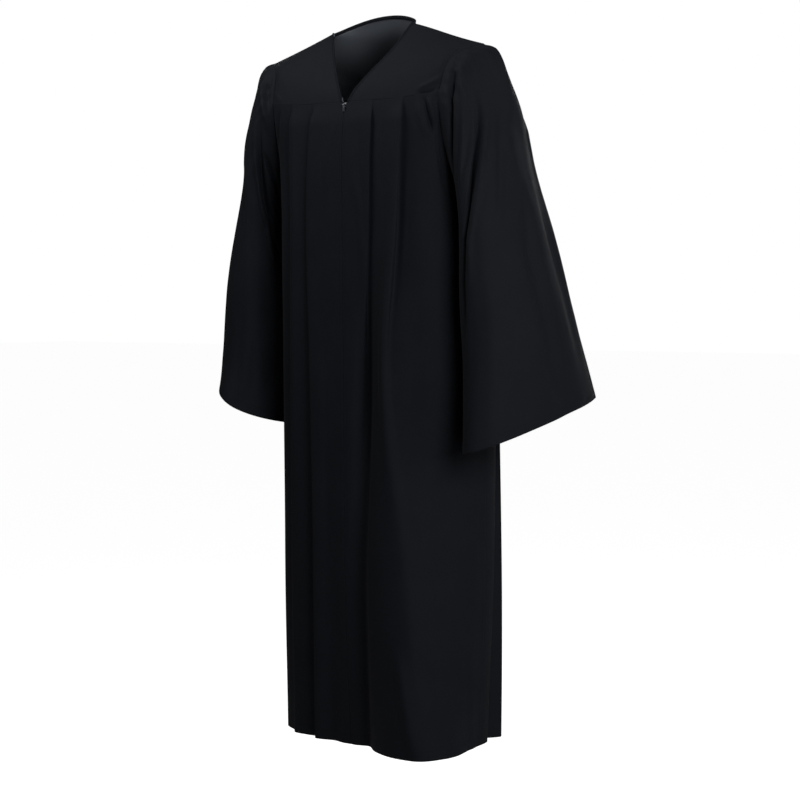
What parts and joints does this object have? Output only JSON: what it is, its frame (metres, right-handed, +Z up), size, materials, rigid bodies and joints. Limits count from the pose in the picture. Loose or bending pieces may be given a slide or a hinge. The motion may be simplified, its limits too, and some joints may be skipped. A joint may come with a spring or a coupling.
{
  "type": "graduation gown",
  "caption": "Black full-length graduation gown, worn shape with no wearer: V neck, yoke, pleated fronts, fluted back, bell sleeves and a concealed front zip.",
  "frame": {"origin": "midway between the two points where the neckline meets the shoulder seams, where the wearer's neck and shoulders hold the gown", "axes": "+X towards the wearer's left, +Y towards the wearer's back, +Z up"},
  "size_m": [0.706, 0.4153, 1.3314],
  "materials": {
    "black_cloth": "matte woven polyester, black with a slight blue cast",
    "zip_tape": "matte black woven tape and nylon coil",
    "zip_metal": "plated grey metal"
  },
  "bodies": {
    "gown": {"back": "black_cloth", "front_left": "black_cloth", "front_right": "black_cloth", "sleeve_left": "black_cloth", "sleeve_right": "black_cloth", "yoke_back": "black_cloth", "yoke_front_left": "black_cloth", "yoke_front_right": "black_cloth", "zip_tape": "zip_tape", "zip_coil": "zip_tape", "zip_slider": "zip_metal"},
    "pull_tab": {"zip_pull": "zip_metal"}
  },
  "joints": [
    {"name": "pull_tab_hinge", "type": "hinge", "parent": "gown", "child": "pull_tab", "pos_m": [0, -0.1051, -0.1446], "axis": [-1, 0, 0], "range_deg": [0, 150]}
  ]
}
